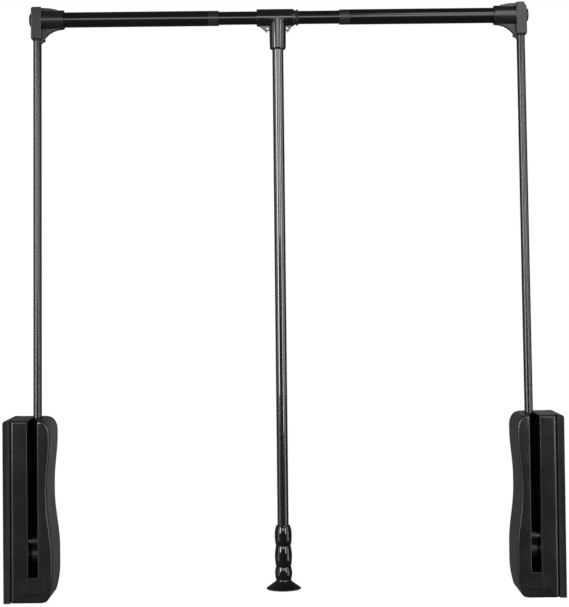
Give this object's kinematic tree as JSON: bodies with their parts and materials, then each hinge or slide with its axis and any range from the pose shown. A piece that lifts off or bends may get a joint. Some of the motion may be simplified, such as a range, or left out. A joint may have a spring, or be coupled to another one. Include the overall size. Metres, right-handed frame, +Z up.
{
  "type": "pull down closet rod",
  "caption": "Pull-down wardrobe rail: telescopic hanging bar on two sprung arms that fold forward out of wall-mounted side housings, with a hanging pull handle.",
  "frame": {"origin": "where the pivot axis of the arms meets the left wardrobe side, on the left mounting tray's wall face", "axes": "+X from the left wardrobe side to the right one, -Y out of the wardrobe towards the user, +Z up"},
  "size_m": [0.78, 0.1032, 0.8409],
  "materials": {
    "cover": "satin moulded ABS, black",
    "tray": "satin moulded ABS, black",
    "bumper": "matt black rubber",
    "painted_tube": "satin black enamel on steel tube",
    "gloss": "polished black plastic",
    "elbow": "satin moulded nylon, black",
    "bush": "satin moulded acetal, black",
    "steel": "zinc plated steel",
    "dark_steel": "black phosphated steel"
  },
  "bodies": {
    "left_housing": {"left_mounting_tray": "tray", "left_housing_cover": "cover", "left_bumper_block": "bumper", "left_pivot_pin": "steel", "left_damper_cylinder": "dark_steel", "left_tension_spring": "steel", "left_anchor_bracket": "dark_steel", "left_anchor_screw": "steel"},
    "left_frame": {"left_pivot_bush": "bush", "left_arm_lever": "dark_steel", "left_crank_pin": "steel", "left_arm_tube": "painted_tube", "left_elbow": "elbow", "left_elbow_cap": "elbow", "left_set_screw": "dark_steel", "left_outer_rail_tube": "painted_tube", "left_rail_end_ring": "bush"},
    "left_crosshead": {"left_crosshead": "dark_steel", "left_damper_rod": "steel"},
    "right_housing": {"right_mounting_tray": "tray", "right_housing_cover": "cover", "right_bumper_block": "bumper", "right_pivot_pin": "steel", "right_damper_cylinder": "dark_steel", "right_tension_spring": "steel", "right_anchor_bracket": "dark_steel", "right_anchor_screw": "steel"},
    "right_frame": {"right_pivot_bush": "bush", "right_arm_lever": "dark_steel", "right_crank_pin": "steel", "right_arm_tube": "painted_tube", "right_elbow": "elbow", "right_elbow_cap": "elbow", "right_set_screw": "dark_steel", "right_outer_rail_tube": "painted_tube", "right_rail_end_ring": "bush"},
    "right_crosshead": {"right_crosshead": "dark_steel", "right_damper_rod": "steel"},
    "centre_rail": {"centre_rail_tube": "painted_tube", "tee_bush": "bush"},
    "handle": {"tee": "gloss", "handle_tube": "painted_tube", "grip": "gloss"}
  },
  "joints": [
    {"name": "width_adjust", "type": "slide", "parent": "left_housing", "child": "right_housing", "axis": [1, 0, 0], "range_m": [-0.1, 0.16]},
    {"name": "fold", "type": "hinge", "parent": "left_housing", "child": "left_frame", "pos_m": [0, 0, 0], "axis": [1, 0, 0], "range_deg": [0, 112], "stiffness_Nm_per_rad": 6, "springref_deg": -126.05},
    {"name": "centre_slide", "type": "slide", "parent": "left_frame", "child": "centre_rail", "axis": [1, 0, 0], "range_m": [-0.05, 0.08]},
    {"name": "right_extend", "type": "slide", "parent": "centre_rail", "child": "right_frame", "axis": [1, 0, 0], "range_m": [-0.05, 0.08]},
    {"name": "handle_swing", "type": "hinge", "parent": "centre_rail", "child": "handle", "pos_m": [0.388, 0.03194, 0.76213], "axis": [1, 0, 0], "continuous": true},
    {"name": "left_damper", "type": "slide", "parent": "left_housing", "child": "left_crosshead", "axis": [0, 0, 1], "range_m": [-0.0405, 0.001], "deforming": ["left_tension_spring"]},
    {"name": "right_damper", "type": "slide", "parent": "right_housing", "child": "right_crosshead", "axis": [0, 0, 1], "range_m": [-0.0405, 0.001], "deforming": ["right_tension_spring"]}
  ],
  "couplings": [
    {"joint": "centre_slide", "follows": "width_adjust", "ratio": 0.5},
    {"joint": "right_extend", "follows": "width_adjust", "ratio": 0.5},
    {"joint": "left_damper", "follows": "fold", "m_per_rad": -0.020357},
    {"joint": "right_damper", "follows": "fold", "m_per_rad": -0.020357}
  ]
}
